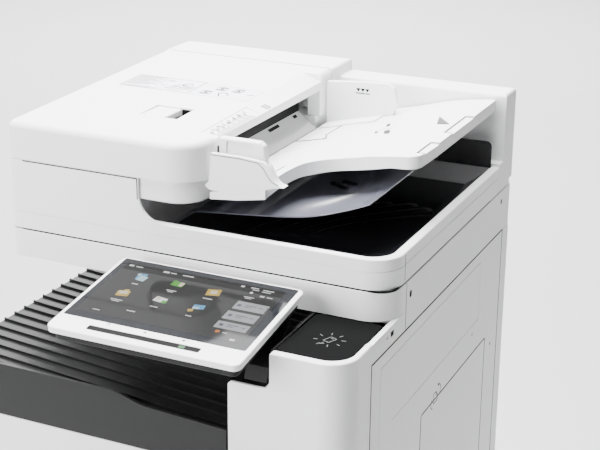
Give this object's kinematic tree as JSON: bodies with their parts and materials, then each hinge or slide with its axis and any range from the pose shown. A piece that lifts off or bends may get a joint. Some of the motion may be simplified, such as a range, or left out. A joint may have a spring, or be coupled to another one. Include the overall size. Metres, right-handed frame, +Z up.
{
  "type": "photocopier",
  "caption": "Floor-standing office photocopier with document feeder, tilting touch panel, in-body output tray, paper cassettes and pedestal.",
  "frame": {"origin": "centre of the bounding box at floor level", "axes": "+Z up, -Y the front, +X the right-hand side seen from the front; the longest extent is Z"},
  "size_m": [0.565, 0.7118, 1.145],
  "materials": {
    "white_plastic": "fine satin texture",
    "frame_steel": "satin",
    "foot_metal": "brushed",
    "inlet_black": "matte",
    "switch_black": "glossy",
    "card_pad": "fine grain",
    "tray_black": "satin",
    "scoop_grey": "glossy",
    "light_grey": "satin",
    "toner_plastic": "satin",
    "belt_black": "glossy",
    "inner_metal": "brushed",
    "roller_rubber": "matte",
    "platen_glass": "polished",
    "carriage_black": "matte",
    "document_tray": "glossy blue-black",
    "pad_foam": "smooth sheet",
    "smoked_sheet": "glossy smoked",
    "screen_glass": "polished",
    "panel_black": "satin",
    "caster_tyre": "matte",
    "cassette_grey": "satin"
  },
  "bodies": {
    "machine": {"pedestal_frame": "frame_steel", "pedestal_cover": "white_plastic", "levelling_feet": "foot_metal", "main_frame": "frame_steel", "left_cover": "white_plastic", "right_lower_cover": "white_plastic", "right_rear_cover": "white_plastic", "rear_cover": "white_plastic", "power_inlet": "inlet_black", "pillar_cover": "white_plastic", "card_reader_pad": "card_pad", "corner_cover": "white_plastic", "output_tray": "tray_black", "tray_front_cover": "scoop_grey", "toner_bottles": "toner_plastic", "transfer_belt": "belt_black", "fuser_unit": "inner_metal", "reader_housing": "white_plastic", "platen_glass": "platen_glass", "adf_hinges": "inner_metal", "panel_arm": "panel_black"},
    "caster_1": {"caster_fork_1": "foot_metal"},
    "wheel_1": {"caster_wheel_1": "caster_tyre"},
    "caster_2": {"caster_fork_2": "foot_metal"},
    "wheel_2": {"caster_wheel_2": "caster_tyre"},
    "caster_3": {"caster_fork_3": "foot_metal"},
    "wheel_3": {"caster_wheel_3": "caster_tyre"},
    "caster_4": {"caster_fork_4": "foot_metal"},
    "wheel_4": {"caster_wheel_4": "caster_tyre"},
    "cassette_1": {"cassette_1": "cassette_grey", "cassette_front_1": "white_plastic"},
    "cassette_2": {"cassette_2": "cassette_grey", "cassette_front_2": "white_plastic"},
    "cassette_3": {"cassette_3": "cassette_grey", "cassette_front_3": "white_plastic"},
    "cassette_4": {"cassette_4": "cassette_grey", "cassette_front_4": "white_plastic"},
    "front_door": {"front_door": "white_plastic"},
    "side_door": {"side_door": "white_plastic"},
    "bypass_tray": {"bypass_tray": "white_plastic"},
    "bypass_extension": {"bypass_extension": "light_grey"},
    "scan_carriage": {"scan_carriage": "carriage_black"},
    "feeder": {"adf_base": "white_plastic", "document_output_tray": "document_tray", "platen_pad": "pad_foam", "feeder_body": "white_plastic", "rear_housing": "white_plastic"},
    "feed_roller": {"feed_roller": "roller_rubber"},
    "feeder_cover": {"feeder_cover": "white_plastic"},
    "release_lever": {"release_lever": "white_plastic"},
    "feed_tray": {"feed_tray": "white_plastic", "output_guide_sheet": "smoked_sheet"},
    "front_guide": {"front_guide": "white_plastic"},
    "rear_guide": {"rear_guide": "white_plastic"},
    "panel": {"panel_shell": "white_plastic", "panel_glass": "screen_glass", "panel_back": "panel_black"},
    "fuser_roller": {"fuser_roller": "roller_rubber"},
    "pressure_roller": {"pressure_roller": "roller_rubber"},
    "power_switch": {"power_switch": "switch_black"}
  },
  "joints": [
    {"name": "caster_swivel_1", "type": "hinge", "parent": "machine", "child": "caster_1", "pos_m": [-0.2125, -0.195, 0.045], "axis": [0, 0, 1], "continuous": true},
    {"name": "wheel_spin_1", "type": "hinge", "parent": "caster_1", "child": "wheel_1", "pos_m": [-0.2125, -0.183, 0.023], "axis": [1, 0, 0], "continuous": true},
    {"name": "caster_swivel_2", "type": "hinge", "parent": "machine", "child": "caster_2", "pos_m": [0.2125, -0.195, 0.045], "axis": [0, 0, 1], "continuous": true},
    {"name": "wheel_spin_2", "type": "hinge", "parent": "caster_2", "child": "wheel_2", "pos_m": [0.2125, -0.183, 0.023], "axis": [1, 0, 0], "continuous": true},
    {"name": "caster_swivel_3", "type": "hinge", "parent": "machine", "child": "caster_3", "pos_m": [-0.2125, 0.28, 0.045], "axis": [0, 0, 1], "continuous": true},
    {"name": "wheel_spin_3", "type": "hinge", "parent": "caster_3", "child": "wheel_3", "pos_m": [-0.2125, 0.292, 0.023], "axis": [1, 0, 0], "continuous": true},
    {"name": "caster_swivel_4", "type": "hinge", "parent": "machine", "child": "caster_4", "pos_m": [0.2125, 0.28, 0.045], "axis": [0, 0, 1], "continuous": true},
    {"name": "wheel_spin_4", "type": "hinge", "parent": "caster_4", "child": "wheel_4", "pos_m": [0.2125, 0.292, 0.023], "axis": [1, 0, 0], "continuous": true},
    {"name": "cassette_slide_1", "type": "slide", "parent": "machine", "child": "cassette_1", "axis": [0, -1, 0], "range_m": [0, 0.4]},
    {"name": "cassette_slide_2", "type": "slide", "parent": "machine", "child": "cassette_2", "axis": [0, -1, 0], "range_m": [0, 0.4]},
    {"name": "cassette_slide_3", "type": "slide", "parent": "machine", "child": "cassette_3", "axis": [0, -1, 0], "range_m": [0, 0.4]},
    {"name": "cassette_slide_4", "type": "slide", "parent": "machine", "child": "cassette_4", "axis": [0, -1, 0], "range_m": [0, 0.4]},
    {"name": "front_door_hinge", "type": "hinge", "parent": "machine", "child": "front_door", "pos_m": [0, -0.287, 0.4605], "axis": [1, 0, 0], "range_deg": [0, 85]},
    {"name": "side_door_hinge", "type": "hinge", "parent": "machine", "child": "side_door", "pos_m": [0.2825, 0.321, 0.69], "axis": [0, 0, 1], "range_deg": [0, 80]},
    {"name": "bypass_tray_hinge", "type": "hinge", "parent": "side_door", "child": "bypass_tray", "pos_m": [0.2825, 0.116, 0.5305], "axis": [0, 1, 0], "range_deg": [0, 70]},
    {"name": "bypass_extension_slide", "type": "slide", "parent": "bypass_tray", "child": "bypass_extension", "axis": [0, 0, 1], "range_m": [0, 0.11]},
    {"name": "scan_carriage_slide", "type": "slide", "parent": "machine", "child": "scan_carriage", "axis": [1, 0, 0], "range_m": [0, 0.46]},
    {"name": "feeder_lift", "type": "hinge", "parent": "machine", "child": "feeder", "pos_m": [0, 0.35, 0.984], "axis": [-1, 0, 0], "range_deg": [0, 70]},
    {"name": "feed_roller_spin", "type": "hinge", "parent": "feeder", "child": "feed_roller", "pos_m": [-0.048, 0.06, 1.072], "axis": [0, 1, 0], "continuous": true},
    {"name": "feeder_cover_hinge", "type": "hinge", "parent": "feeder", "child": "feeder_cover", "pos_m": [-0.276, 0.06, 1.0865], "axis": [0, -1, 0], "range_deg": [0, 70]},
    {"name": "release_lever_hinge", "type": "hinge", "parent": "feeder_cover", "child": "release_lever", "pos_m": [-0.131, -0.0265, 1.135], "axis": [0, -1, 0], "range_deg": [0, 20], "stiffness_Nm_per_rad": 0.3},
    {"name": "feed_tray_tilt", "type": "hinge", "parent": "feeder", "child": "feed_tray", "pos_m": [0.01, 0.1, 1.134], "axis": [0, -1, 0], "range_deg": [0, 25]},
    {"name": "front_guide_slide", "type": "slide", "parent": "feed_tray", "child": "front_guide", "axis": [0, 1, 0], "range_m": [0, 0.09]},
    {"name": "rear_guide_slide", "type": "slide", "parent": "feed_tray", "child": "rear_guide", "axis": [0, -1, 0], "range_m": [0, 0.09]},
    {"name": "panel_tilt", "type": "hinge", "parent": "machine", "child": "panel", "pos_m": [0.124, -0.204, 0.946], "axis": [1, 0, 0], "range_deg": [-8, 12]},
    {"name": "fuser_spin", "type": "hinge", "parent": "machine", "child": "fuser_roller", "pos_m": [0.1605, 0.008, 0.6105], "axis": [0, 1, 0], "continuous": true},
    {"name": "pressure_spin", "type": "hinge", "parent": "machine", "child": "pressure_roller", "pos_m": [0.2005, 0.008, 0.6105], "axis": [0, 1, 0], "continuous": true},
    {"name": "power_switch_rock", "type": "hinge", "parent": "machine", "child": "power_switch", "pos_m": [0.2745, -0.172, 0.4], "axis": [0, 1, 0], "range_deg": [-5, 5]}
  ],
  "couplings": [
    {"joint": "rear_guide_slide", "follows": "front_guide_slide", "ratio": 1},
    {"joint": "pressure_spin", "follows": "fuser_spin", "ratio": -1}
  ]
}
